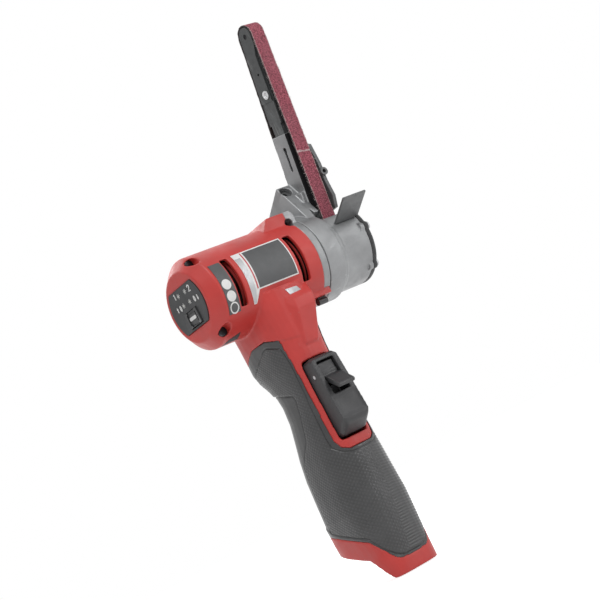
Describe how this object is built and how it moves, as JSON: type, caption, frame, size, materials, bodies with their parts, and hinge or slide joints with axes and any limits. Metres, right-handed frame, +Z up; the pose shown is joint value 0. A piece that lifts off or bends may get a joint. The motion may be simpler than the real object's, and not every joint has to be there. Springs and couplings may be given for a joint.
{
  "type": "power file",
  "caption": "Battery power file: narrow abrasive belt on a sprung swinging arm, motor barrel across the top of a rubber covered handle with a lock-off paddle.",
  "frame": {"origin": "middle of the battery socket mouth at the foot of the handle", "axes": "+X along the motor axis towards the belt, -Y to the front where the paddle is, +Z up the handle"},
  "size_m": [0.121, 0.065, 0.3147],
  "materials": {
    "shell_red": "satin moulded",
    "grip_rubber": "fine moulded grain",
    "fastener_steel": "zinc plated",
    "black_plastic": "satin moulded",
    "lamp_lens": "clear lamp",
    "board_green": "lacquered board",
    "motor_iron": "stacked sheets",
    "bearing_steel": "ground",
    "cast_alloy": "die cast, painted",
    "pulley_rubber": "moulded tread",
    "gasket_black": "pressed sheet",
    "dark_steel": "black oxide",
    "spring_steel": "drawn wire",
    "abrasive_belt": "coated grit",
    "contact_brass": "stamped",
    "label_film": "printed film"
  },
  "bodies": {
    "base": {"front_housing": "shell_red", "rear_housing": "shell_red", "grip_sleeve": "grip_rubber", "housing_screws": "fastener_steel", "mode_panel": "black_plastic", "mode_leds": "lamp_lens", "control_board": "board_green", "work_lamp": "black_plastic", "stator": "motor_iron", "rear_bearing": "bearing_steel", "front_bearing": "bearing_steel", "motor_plate": "cast_alloy", "gear_case": "cast_alloy", "ring_gear": "bearing_steel", "spindle_bearing": "bearing_steel", "paddle_pin": "fastener_steel", "paddle_spring": "spring_steel", "switch_box": "black_plastic", "terminal_block": "black_plastic", "terminal_blades": "contact_brass", "wide_label": "label_film", "narrow_label": "label_film"},
    "arm": {"arm_casting": "cast_alloy", "clamp_screw": "fastener_steel", "drum_cover": "dark_steel", "cover_gasket": "gasket_black", "cover_screws": "fastener_steel", "deflector": "dark_steel", "side_bracket": "dark_steel", "bracket_screws": "fastener_steel", "belt": "abrasive_belt", "tension_spring": "spring_steel"},
    "belt_arm": {"arm_bar": "dark_steel", "stop_pin": "fastener_steel", "platen": "dark_steel", "near_cheek": "dark_steel", "far_cheek": "dark_steel", "cheek_screws": "fastener_steel", "tip_axle": "fastener_steel"},
    "tip_roll": {"tip_pulley": "bearing_steel"},
    "spindle": {"carrier": "bearing_steel", "drive_pulley": "pulley_rubber", "pulley_screw": "fastener_steel"},
    "motor_shaft": {"rotor": "motor_iron", "fan": "black_plastic", "sun_pinion": "bearing_steel"},
    "planet_a": {"planet_gear_a": "bearing_steel"},
    "planet_b": {"planet_gear_b": "bearing_steel"},
    "planet_c": {"planet_gear_c": "bearing_steel"},
    "paddle": {"paddle": "black_plastic", "lock_pin": "fastener_steel"},
    "lock": {"lock_lever": "black_plastic"},
    "button": {"mode_button": "black_plastic"}
  },
  "joints": [
    {"name": "arm_swing", "type": "hinge", "parent": "base", "child": "arm", "pos_m": [0.044, 0, 0.165], "axis": [1, 0, 0], "range_deg": [-60, 60]},
    {"name": "arm_slide", "type": "slide", "parent": "arm", "child": "belt_arm", "axis": [0, -0.2113, 0.9774], "range_m": [-0.006, 0], "stiffness_N_per_m": 900, "springref_m": 0.001, "deforming": ["tension_spring"]},
    {"name": "spindle_spin", "type": "hinge", "parent": "base", "child": "spindle", "pos_m": [0.05, 0, 0.165], "axis": [1, 0, 0], "continuous": true},
    {"name": "motor_spin", "type": "hinge", "parent": "base", "child": "motor_shaft", "pos_m": [0, 0, 0.165], "axis": [1, 0, 0], "continuous": true},
    {"name": "planet_a_spin", "type": "hinge", "parent": "spindle", "child": "planet_a", "pos_m": [0.032, 0, 0.1758], "axis": [1, 0, 0], "continuous": true},
    {"name": "planet_b_spin", "type": "hinge", "parent": "spindle", "child": "planet_b", "pos_m": [0.032, -0.00935, 0.1596], "axis": [1, 0, 0], "continuous": true},
    {"name": "planet_c_spin", "type": "hinge", "parent": "spindle", "child": "planet_c", "pos_m": [0.032, 0.00935, 0.1596], "axis": [1, 0, 0], "continuous": true},
    {"name": "tip_spin", "type": "hinge", "parent": "belt_arm", "child": "tip_roll", "pos_m": [0.0594, -0.028, 0.29451], "axis": [1, 0, 0], "continuous": true},
    {"name": "paddle_press", "type": "hinge", "parent": "base", "child": "paddle", "pos_m": [0, -0.0145, 0.1132], "axis": [1, 0, 0], "range_deg": [0, 7], "stiffness_Nm_per_rad": 1.2, "deforming": ["paddle_spring"]},
    {"name": "lock_turn", "type": "hinge", "parent": "paddle", "child": "lock", "pos_m": [0, -0.0245, 0.1005], "axis": [1, 0, 0], "range_deg": [-25, 0], "stiffness_Nm_per_rad": 0.06},
    {"name": "mode_press", "type": "slide", "parent": "base", "child": "button", "axis": [1, 0, 0], "range_m": [0, 0.0008], "stiffness_N_per_m": 900}
  ],
  "couplings": [
    {"joint": "motor_spin", "follows": "spindle_spin", "ratio": 3.6},
    {"joint": "planet_a_spin", "follows": "spindle_spin", "ratio": -3.25},
    {"joint": "planet_b_spin", "follows": "spindle_spin", "ratio": -3.25},
    {"joint": "planet_c_spin", "follows": "spindle_spin", "ratio": -3.25},
    {"joint": "tip_spin", "follows": "spindle_spin", "ratio": 1.8182}
  ]
}
